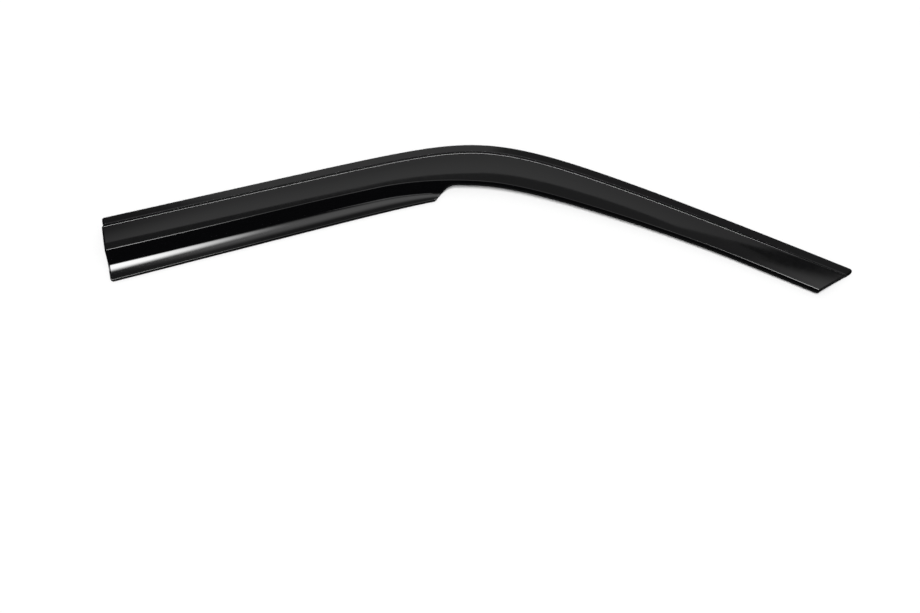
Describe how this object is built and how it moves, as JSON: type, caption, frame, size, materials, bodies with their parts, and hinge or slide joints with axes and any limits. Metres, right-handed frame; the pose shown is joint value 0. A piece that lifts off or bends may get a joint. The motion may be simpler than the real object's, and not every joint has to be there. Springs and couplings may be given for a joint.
{
  "type": "window rain deflector",
  "caption": "Black gloss rain deflector for a front side window: a bent flange with foam tape, a raised body, a flared visor along the rear half and a slim arm to a slanted tip.",
  "frame": {"origin": "middle of the footprint, on the surface that the part lies on, which is the face of the tape", "axes": "+X along the length from the rear end to the tip, +Y from the lip towards the top edge, +Z out of the outer face"},
  "size_m": [0.9452, 0.2268, 0.0171],
  "materials": {
    "black_acrylic": "deep black, polished gloss",
    "foam_tape": "matte closed-cell foam"
  },
  "bodies": {
    "root": {"deflector": "black_acrylic", "mounting_tape": "foam_tape"}
  },
  "joints": []
}
